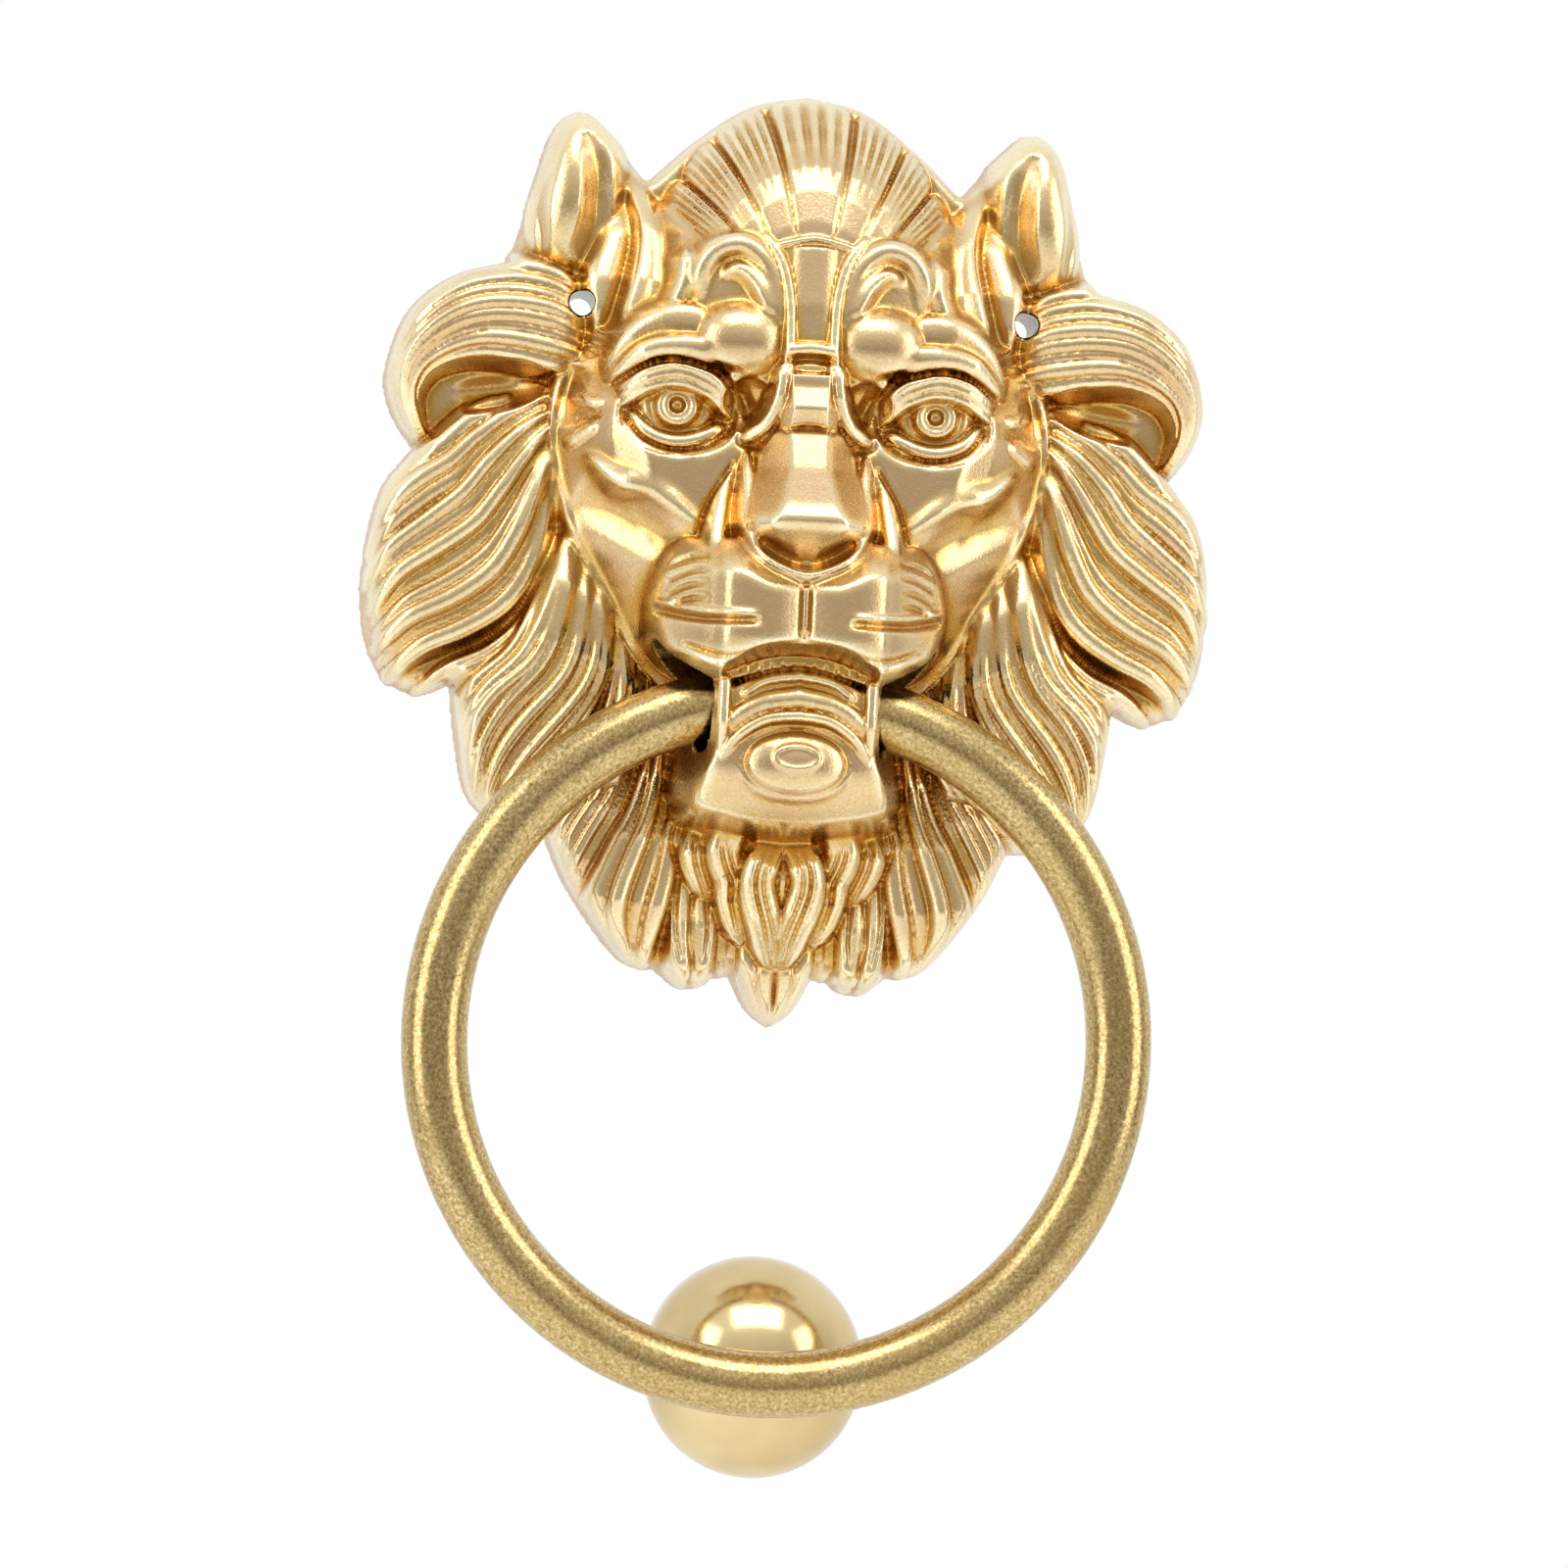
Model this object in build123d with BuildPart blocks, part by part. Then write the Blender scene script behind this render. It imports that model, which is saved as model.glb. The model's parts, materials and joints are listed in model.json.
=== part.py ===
from build123d import *
import math
import os

os.makedirs("parts", exist_ok=True)

# Lion head door knocker, cast brass. All sizes in millimetres.
# The door plane is y = 0 and the knocker stands out from it towards -Y.
# +Z is up. The origin lies on the door plane, midway between the two mounting screw holes.

# ---- mounting ----
screw_spacing = 60.0          # between the two fixing screw holes, on the X axis
screw_hole_r = 1.7
screw_boss_r = 4.2

# ---- knocker ring and its bearing in the jaw ----
rod_r = 4.4                   # half the thickness of the ring bar
ring_r = 45.6                 # radius of the ring's centre line
pivot_y = -22.0               # swing axis, standing out from the door
pivot_z = -52.0
ring_centre_z = pivot_z - ring_r
bearing_r = rod_r + 0.4       # bore in the web that carries the ring
butt_gap = 0.4                # gap between the ends of the bent bar, degrees of arc
bearing_half_width = 3.0
slot_half_height = 7.35       # oval openings in both sides of the jaw
slot_half_depth = 6.6
joint_pin_r = 1.2             # dowel across the butt joint of the bent bar
joint_pin_half_length = 7.0

# ---- strike button ----
button_r = 15.0
button_foot = 2.4
button_centre_z = ring_centre_z - ring_r
button_bore_r = 2.4
button_bore_depth = 9.0
button_screw_length = 25.0    # length of wood thread standing out behind the button
button_screw_r = 2.1

# ---- head casting ----
rim_depth = 5.5               # plain outer rim of the casting, measured from the door
mane_depth = 9.0              # general level of the mane
nose_depth = 40.0

# Right-hand half of the head outline, as runs of points between the notches of the mane.
crown_edge = [(0, 31), (8, 29.2), (15.5, 24.0), (21.5, 18.5)]
ear_edge = [(21.5, 18.5), (26.3, 24.0), (30.8, 27.2), (34.8, 24.3), (37.4, 16.0), (40.5, 6.0)]
curl_edge = [(40.5, 6.0), (47.5, 3.8), (53.5, -1.5), (56.2, -10.0), (55.0, -15.5), (52.0, -20.0)]
side_edge = [(52.0, -20.0), (56.5, -27.0), (58.5, -42.0), (55.5, -51.0), (50.5, -53.8), (45.5, -52.0)]
lower_edge = [(45.5, -52.0), (44.6, -59.0), (42.6, -67.0), (37.5, -71.0), (31.8, -72.0)]
beard_edge = [(31.8, -72.0), (29.0, -78.0), (24.5, -84.5), (20.5, -88.7), (16.0, -90.0)]
tuft_edge = [(16.0, -90.0), (11.5, -92.2), (5.8, -90.0)]
tip_edge = [(5.8, -90.0), (3.2, -94.6), (0, -97.0)]
outline = [crown_edge, ear_edge, curl_edge, side_edge, lower_edge, beard_edge, tuft_edge, tip_edge]


def half_wire(scale_x=1.0, scale_z=1.0, centre_z=-33.0):
    """Right-hand half outline of the head, scaled about a point on its centre line."""
    for run in outline:
        Spline(*[(x * scale_x, centre_z + (z - centre_z) * scale_z) for x, z in run])


def hair_lock(points, widths, depth, thickness):
    """Rounded lock of hair: ellipses along a curve that lies parallel to the door."""
    with BuildLine() as line:
        Spline(*[(x, -depth, z) for x, z in points])
    path = line.wire()
    sections = []
    for index, width in enumerate(widths):
        t = index / (len(widths) - 1)
        flat = thickness * (0.45 + 0.55 * math.sin(math.pi * min(t + 0.2, 1.0)))
        with BuildSketch(Plane(origin=path @ t, x_dir=(0, 1, 0), z_dir=path % t)) as section:
            Ellipse(flat, width)
        sections.append(section.sketch)
    return loft(sections=sections, mode=Mode.PRIVATE)


def swelling(centre, radii, tilt=0.0):
    """Ellipsoid, tilted about the Y axis."""
    ball = scale(Sphere(1.0, mode=Mode.PRIVATE), by=radii, mode=Mode.PRIVATE)
    return Pos(*centre) * Rot(0, tilt, 0) * ball


def both(shapes):
    """The given right-hand shapes together with their mirror images."""
    return shapes + [mirror(shape, about=Plane.YZ, mode=Mode.PRIVATE) for shape in shapes]


# Locks of the mane, right-hand side: centre line (x, z), half widths, depth of axis, half thickness.
mane_locks = [
    ([(31, -4), (40, -1), (48, -3), (52.0, -9), (49, -16)], [3.5, 5.6, 5.0, 3.6, 1.4], 8.5, 6.0),
    ([(33, -8), (41, -8), (47, -10), (50, -14)], [2.0, 2.6, 2.2, 1.0], 8.0, 4.5),
    ([(36, -13), (42, -22), (48, -30), (53, -40)], [2.5, 5.5, 6.0, 3.0], 8.5, 5.5),
    ([(35, -14), (38, -27), (43, -37), (52, -45)], [2.5, 5.5, 6.5, 4.0], 9.5, 6.5),
    ([(33, -26), (35, -36), (41, -43), (50, -49)], [2.0, 5.0, 5.5, 3.0], 8.5, 6.5),
    ([(30, -35), (30, -45), (36, -53), (42, -63)], [2.5, 5.5, 6.0, 2.2], 8.5, 6.0),
    ([(26, -40), (25, -50), (31, -59), (38, -67)], [2.5, 5.5, 6.0, 2.5], 8.0, 5.5),
    ([(20, -58), (25, -66), (27, -72), (27, -79)], [3.0, 5.0, 4.6, 2.0], 8.0, 6.5),
    ([(16, -60), (19, -69), (20, -78), (19, -87)], [3.0, 5.0, 5.0, 2.2], 8.5, 7.0),
    ([(11, -66), (12, -74), (12, -82), (11, -90)], [2.5, 3.8, 4.0, 2.0], 8.0, 6.0),
    ([(5, -66), (7, -72), (7, -77), (6, -82)], [2.5, 3.0, 2.8, 1.4], 13.0, 5.0),
    ([(26, 14), (24, 7), (25, 0), (29, -6)], [2.0, 3.6, 3.4, 1.6], 9.0, 6.0),
    ([(21, 14), (19, 7), (19, 2), (21, -3)], [1.6, 2.8, 2.8, 1.4], 12.0, 6.5),
]
centre_locks = [
    ([(0, -66), (0, -74), (0, -82), (0, -87)], [2.5, 4.0, 3.2, 1.4], 14.0, 6.0),
    ([(0, -80), (0, -85), (0, -90), (0, -95)], [3.0, 4.2, 3.8, 1.4], 8.0, 5.5),
]


# Outline of the face mask at three depths, right-hand side, from forehead to throat.
mask_levels = [
    (5.0, [(0, 12), (20, 10), (32, -3), (35.5, -14), (34, -25), (29, -38), (20, -49), (13, -61), (0, -63)]),
    (17.0, [(0, 12), (18, 8), (30, -4), (33, -14), (31, -22), (25, -34), (18, -46), (11, -58), (0, -60)]),
    (25.0, [(0, 8), (12, 5), (23, -5), (26, -13), (23, -21), (17, -29), (15, -42), (9, -50), (0, -52)]),
]

# Nose: level z, half width at the root, half width in front, depth in front.
nose_levels = [(9, 5.0, 3.4, 26.5), (-7, 5.5, 3.6, 28.5), (-18, 6.0, 3.4, 32.5), (-26, 9.5, 6.2, 39.0),
               (-28, 8.5, 4.4, nose_depth), (-33, 5.0, 1.2, 36.5)]

# Jaw block: depth, half width, lower edge, upper edge.
jaw_levels = [(4.0, 14.0, -70.0, -46.5), (26.0, 11.0, -66.5, -48.0), (32.0, 8.6, -64.5, -49.5)]

with BuildPart() as lion_head:
    # plain rim of the casting
    with BuildSketch(Plane.XZ):
        with BuildLine():
            half_wire()
            mirror(about=Plane.YZ)
        make_face()
    extrude(amount=rim_depth)

    # body of the mane, set in from the rim
    with BuildSketch(Plane.XZ.offset(rim_depth - 0.5)):
        with BuildLine():
            half_wire(0.965, 0.97)
            mirror(about=Plane.YZ)
        make_face()
    extrude(amount=mane_depth - rim_depth + 0.5)

    # face mask with flat cheeks
    for depth, points in mask_levels:
        with BuildSketch(Plane.XZ.offset(depth)):
            with BuildLine():
                Polyline(*points)
                mirror(about=Plane.YZ)
            make_face()
    loft(ruled=True)

    # crown: a shell-shaped fan rising from the brow to the rim
    with BuildSketch(Plane.XZ.offset(rim_depth)):
        with Locations((0, 7)):
            Ellipse(20.5, 22.5)
    with BuildSketch(Plane.XZ.offset(26.0)):
        with Locations((0, 3)):
            Ellipse(10.5, 7.0)
    loft()

    # nose bridge, tip and nostrils
    for level, root, front, depth in nose_levels:
        with BuildSketch(Plane.XY.offset(level)):
            Polygon((-root, -16), (-front, -depth), (front, -depth), (root, -16), align=None)
    loft(ruled=True)

    # jaw block
    for depth, half_width, low, high in jaw_levels:
        with BuildSketch(Plane.XZ.offset(depth)):
            with Locations((0, (low + high) / 2)):
                RectangleRounded(2 * half_width, high - low, 3.0)
    loft(ruled=True)

    # muzzle pads, chin, lower lip, brows, eyes, cheekbones and ears
    features = both([
        swelling((7.6, -28.0, -36.8), (8.8, 9.2, 7.8), -14.0),
        swelling((9.6, -26.0, -4.6), (5.0, 4.6, 4.0)),
        swelling((17.1, -22.0, -13.8), (6.4, 5.4, 5.0)),
        swelling((30.8, -7.6, 14.5), (6.8, 7.4, 12.4), 10.0),
        hair_lock([(5, -9), (11, -6.5), (18, -5), (25, -9)], [1.4, 2.2, 2.2, 1.2], 25.0, 2.6),
        hair_lock([(10, -16), (14, -10.5), (19, -9.5), (24.5, -13)], [0.8, 1.4, 1.4, 0.8], 25.5, 2.2),
        hair_lock([(11, -16), (14, -19.2), (19, -19.6), (23, -16)], [0.6, 1.0, 1.0, 0.6], 24.8, 2.0),
        hair_lock([(4.6, -2), (5.6, 4), (9.6, 7.4), (13, 4), (10.5, 1.6)], [0.9, 1.5, 1.5, 1.3, 0.8], 26.0, 2.4),
        hair_lock([(29, -20), (22, -24), (15, -29.5)], [1.0, 2.4, 1.6], 22.8, 2.6),
    ])
    features.append(swelling((0, -24.0, -37.0), (14.5, 12.0, 9.6)))
    features.append(swelling((0, -29.5, -59.0), (8.0, 4.4, 4.8)))
    features.append(swelling((0, -15.0, -66.0), (12.0, 9.0, 6.0)))
    features.append(hair_lock([(-9.4, -57), (-6, -52), (0, -50.4), (6, -52), (9.4, -57)],
                              [0.8, 1.3, 1.5, 1.3, 0.8], 29.5, 3.2))

    # locks of hair, fused in one go with the features of the face
    locks = both([hair_lock(*lock) for lock in mane_locks])
    add(features + locks + [hair_lock(*lock) for lock in centre_locks])

    # irises
    with BuildSketch(Plane.XZ.offset(26.6)):
        with Locations((17.1, -13.8), (-17.1, -13.8)):
            Circle(2.7)
            Circle(1.1, mode=Mode.SUBTRACT)
    extrude(amount=1.4)

    # grooves of the crown and hollows of the ears
    for step in range(-8, 9):
        angle = math.radians(step * 10.5)
        outer = Vector(19.5 * math.sin(angle), -8.0, 7 + 21.5 * math.cos(angle))
        inner = Vector(12.0 * math.sin(angle), -24.5, 3.5 + 8.5 * math.cos(angle))
        with Locations(Plane(origin=(outer + inner) / 2, z_dir=inner - outer)):
            Cylinder(0.75, (inner - outer).length, mode=Mode.SUBTRACT)
    for hollow in both([swelling((31.2, -15.5, 13.0), (3.6, 6.5, 8.2), 10.0)]):
        add(hollow, mode=Mode.SUBTRACT)

    # open mouth above the lower lip
    with BuildSketch(Plane.XZ.offset(29.8)):
        with BuildLine():
            ThreePointArc((-9.5, -47.6), (0, -45.9), (9.5, -47.6))
            ThreePointArc((9.5, -47.6), (0, -49.2), (-9.5, -47.6))
        make_face()
    extrude(amount=12, mode=Mode.SUBTRACT)

    # hollow back
    with BuildSketch(Plane.XZ):
        with BuildLine():
            half_wire(0.925, 0.925)
            mirror(about=Plane.YZ)
        make_face()
    extrude(amount=rim_depth, mode=Mode.SUBTRACT)
    with BuildSketch(Plane.XZ.offset(rim_depth - 0.5)):
        with Locations((0, -16)):
            Ellipse(27, 21)
    with BuildSketch(Plane.XZ.offset(18.0)):
        with Locations((0, -16)):
            Ellipse(19, 15)
    loft(mode=Mode.SUBTRACT)

    # bosses round the screw holes, then the holes
    with BuildSketch(Plane.XZ):
        with Locations((screw_spacing / 2, 0), (-screw_spacing / 2, 0)):
            Circle(screw_boss_r)
    extrude(amount=mane_depth)
    with BuildSketch(Plane.XZ):
        with Locations((screw_spacing / 2, 0), (-screw_spacing / 2, 0)):
            Circle(screw_hole_r)
    extrude(amount=nose_depth, mode=Mode.SUBTRACT)

    # oval openings through both sides of the jaw
    with BuildSketch(Plane.YZ.offset(-24.0)):
        with Locations((pivot_y, pivot_z - 0.3)):
            Ellipse(slot_half_depth, slot_half_height)
    extrude(amount=48.0, mode=Mode.SUBTRACT)

    # room for the hanging ring over the lower mane
    with Locations(Location((0, pivot_y, ring_centre_z), (90, 0, 0))):
        Torus(ring_r, rod_r + 0.8, mode=Mode.SUBTRACT)

    # bearing web across the middle of the jaw, bored for the ring
    with BuildSketch(Plane.YZ.offset(-bearing_half_width)):
        with Locations((pivot_y, pivot_z - 0.3)):
            Ellipse(slot_half_depth + 0.8, slot_half_height + 0.8)
        with Locations((pivot_y, pivot_z)):
            Circle(bearing_r, mode=Mode.SUBTRACT)
    extrude(amount=2 * bearing_half_width)

lion_head.part.label = "lion_head"
export_step(lion_head.part, "parts/lion_head.step")


with BuildPart() as knocker_ring:
    # round bar bent to a ring, its two ends butting at the top inside the jaw
    with BuildSketch(Plane.YZ.offset(0)):
        with Locations((pivot_y, pivot_z)):
            Circle(rod_r)
    revolve(axis=Axis((0, pivot_y, ring_centre_z), (0, 1, 0)), revolution_arc=360 - butt_gap)

    # blind holes in the two ends for the joint pin
    with BuildSketch(Plane.YZ.offset(-joint_pin_half_length)):
        with Locations((pivot_y, pivot_z)):
            Circle(joint_pin_r)
    extrude(amount=2 * joint_pin_half_length, mode=Mode.SUBTRACT)

knocker_ring.part.label = "knocker_ring"
export_step(knocker_ring.part, "parts/knocker_ring.step")


with BuildPart() as ring_joint_pin:
    # plain dowel with chamfered ends
    with BuildSketch(Plane.YZ.offset(-joint_pin_half_length)):
        with Locations((pivot_y, pivot_z)):
            Circle(joint_pin_r)
    extrude(amount=2 * joint_pin_half_length)
    chamfer(ring_joint_pin.edges(), length=0.3)

ring_joint_pin.part.label = "ring_joint_pin"
export_step(ring_joint_pin.part, "parts/ring_joint_pin.step")


with BuildPart() as strike_button:
    # half section of the domed button, turned about its own axis
    with BuildSketch(Plane.XY):
        with BuildLine():
            Line((0, 0), (button_r - 0.4, 0))
            Line((button_r - 0.4, 0), (button_r, -0.4))
            Line((button_r, -0.4), (button_r, -button_foot))
            RadiusArc((button_r, -button_foot), (0, -button_foot - button_r), button_r)
            Line((0, -button_foot - button_r), (0, 0))
        make_face()
    revolve(axis=Axis.Y)

    # blind hole for its screw
    with BuildSketch(Plane.XZ):
        Circle(button_bore_r)
    extrude(amount=button_bore_depth, mode=Mode.SUBTRACT)

button = Pos(0, 0, button_centre_z) * strike_button.part
button.label = "strike_button"
export_step(button, "parts/strike_button.step")


with BuildPart() as strike_screw:
    # hanger screw: machine thread inside the button, wood thread into the door
    with BuildSketch(Plane.XY):
        with BuildLine():
            Polyline(
                (0, -button_bore_depth + 0.4),
                (button_bore_r - 0.6, -button_bore_depth + 0.4),
                (button_bore_r, -button_bore_depth + 1.0),
                (button_bore_r, 0),
                (button_screw_r, 0.6),
                (button_screw_r, button_screw_length - 6),
                (0.3, button_screw_length),
                (0, button_screw_length),
                (0, -button_bore_depth + 0.4),
            )
        make_face()
    revolve(axis=Axis.Y)

screw = Pos(0, 0, button_centre_z) * strike_screw.part
screw.label = "strike_screw"
export_step(screw, "parts/strike_screw.step")
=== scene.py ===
import json
import math

import bpy
import numpy as np
from mathutils import Matrix, Vector


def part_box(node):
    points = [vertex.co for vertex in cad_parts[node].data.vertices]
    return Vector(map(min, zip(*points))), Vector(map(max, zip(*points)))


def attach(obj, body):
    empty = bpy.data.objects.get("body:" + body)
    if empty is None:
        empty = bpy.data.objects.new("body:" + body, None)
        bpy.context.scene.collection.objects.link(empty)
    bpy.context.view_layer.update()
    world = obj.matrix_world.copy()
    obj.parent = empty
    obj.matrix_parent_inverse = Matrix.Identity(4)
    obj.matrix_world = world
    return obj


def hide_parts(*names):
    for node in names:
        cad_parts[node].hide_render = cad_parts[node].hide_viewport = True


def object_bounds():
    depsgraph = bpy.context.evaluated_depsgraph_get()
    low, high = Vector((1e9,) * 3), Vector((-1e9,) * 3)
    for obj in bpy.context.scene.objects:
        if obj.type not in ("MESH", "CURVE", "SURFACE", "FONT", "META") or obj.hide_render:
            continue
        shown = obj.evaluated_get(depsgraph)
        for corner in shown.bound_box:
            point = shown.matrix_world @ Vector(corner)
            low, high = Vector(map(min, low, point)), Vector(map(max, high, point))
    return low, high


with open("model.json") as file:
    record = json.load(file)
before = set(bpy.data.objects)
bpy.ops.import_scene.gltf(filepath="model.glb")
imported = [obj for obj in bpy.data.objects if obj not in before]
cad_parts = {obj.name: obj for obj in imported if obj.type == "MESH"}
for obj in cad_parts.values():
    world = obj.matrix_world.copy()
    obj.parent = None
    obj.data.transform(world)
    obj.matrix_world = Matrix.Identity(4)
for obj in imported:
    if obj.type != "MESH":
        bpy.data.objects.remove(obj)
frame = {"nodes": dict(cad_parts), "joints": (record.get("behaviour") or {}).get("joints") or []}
cad_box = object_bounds()

# ---------------------------------------------------------------- sculpture of the head
# The head is sculpted as a relief: its height in front of the door, in millimetres, over the
# plane of the door. It is symmetric, so only the half with x >= 0 is worked out.
# Most numbers in its strokes are places, widths and heights in millimetres.

GRID = 0.27                   # spacing of the relief's cells
DRAFT = 4.0                   # slope of the walls beside each raised form
SAMPLES = 56                  # points along each strand of hair
FLOOR_LEVEL = 7.4             # level of the casting just inside its rim
RIM_WIDTH = 2.3
REACH_X = 61.0                # the relief covers x from 0 to here
LOW_Z, HIGH_Z = -99.5, 33.5   # and z between these
NO_METAL = -6.0               # its level outside the head
FAR = 1e9                     # further than any cell is from anything
TIP_DROP = 1.4                # how far a strand dips at its ends
THINNEST = 0.12               # least half width of a strand

CROWN_EDGE = [(0, 31), (8, 29.2), (15.5, 24.0), (21.5, 18.5)]
EAR_EDGE = [(21.5, 18.5), (26.3, 24.0), (30.8, 27.2), (34.8, 24.3), (37.4, 16.0), (40.5, 6.0)]
CURL_EDGE = [(40.5, 6.0), (47.5, 3.8), (53.5, -1.5), (56.2, -10.0), (55.0, -15.5), (52.0, -20.0)]
SIDE_EDGE = [(52.0, -20.0), (56.5, -27.0), (58.5, -42.0), (55.5, -51.0), (50.5, -53.8), (45.5, -52.0)]
LOWER_EDGE = [(45.5, -52.0), (44.6, -59.0), (42.6, -67.0), (37.5, -71.0), (31.8, -72.0)]
BEARD_EDGE = [(31.8, -72.0), (29.0, -78.0), (24.5, -84.5), (20.5, -88.7), (16.0, -90.0)]
TUFT_EDGE = [(16.0, -90.0), (11.5, -92.2), (5.8, -90.0)]
TIP_EDGE = [(5.8, -90.0), (3.2, -94.6), (0, -97.0)]
OUTLINE = [CROWN_EDGE, EAR_EDGE, CURL_EDGE, SIDE_EDGE, LOWER_EDGE, BEARD_EDGE, TUFT_EDGE, TIP_EDGE]

FACE_EDGE = [(0, 16), (18, 14), (23, 6), (28, -3), (32.5, -9), (34.2, -15), (33.8, -22), (31, -30.5),
             (26.5, -38.5), (22.5, -46), (18.5, -50), (13, -54), (0, -56)]


def spline(points, count=60):
    """A smooth curve through the points, as evenly spaced samples."""
    p = np.asarray(points, float)
    if len(p) > 2:
        q = np.vstack([2 * p[0] - p[1], p, 2 * p[-1] - p[-2]])
        t = np.linspace(0, 1, 16, endpoint=False)[:, None]
        runs = []
        for a, b, c, d in zip(q, q[1:], q[2:], q[3:]):
            runs.append(0.5 * (2 * b + (c - a) * t + (2 * a - 5 * b + 4 * c - d) * t ** 2
                               + (3 * b - a - 3 * c + d) * t ** 3))
        p = np.vstack(runs + [p[-1:]])
    length = np.concatenate([[0], np.cumsum(np.linalg.norm(np.diff(p[:, :2], axis=0), axis=1))])
    even = np.linspace(0, length[-1], count)
    return np.stack([np.interp(even, length, p[:, k]) for k in range(p.shape[1])], 1)


def smooth(low, high, value):
    """0 up to low and 1 from high, with an even step between."""
    t = np.clip((value - low) / (high - low), 0, 1)
    return t * t * (3 - 2 * t)


def blur(field, cells):
    """Three box blurs in each direction, close to a Gaussian of that many cells."""
    size = max(1, int(round(cells)))
    out = field
    for axis in (0, 1):
        for _ in range(3):
            pad = [(0, 0), (0, 0)]
            pad[axis] = (size + 1, size)
            total = np.cumsum(np.pad(out, pad, mode="edge"), axis=axis)
            n = field.shape[axis]
            upper = np.take(total, np.arange(2 * size + 1, 2 * size + 1 + n), axis=axis)
            lower = np.take(total, np.arange(0, n), axis=axis)
            out = (upper - lower) / (2 * size + 1)
    return out


def past(value, limit=0.0):
    """How far each value is past a limit, and 0 before it."""
    return np.clip(value - limit, 0, None)


def both_sides(half):
    """Values over the whole width, from those over the half with x >= 0."""
    return np.concatenate([half[:0:-1], half])


def full_polygon(half):
    """A closed polygon from its right-hand half, listed from top to bottom."""
    half = np.asarray(half, float)
    return np.vstack([half, (half * [-1, 1])[::-1]])


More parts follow.
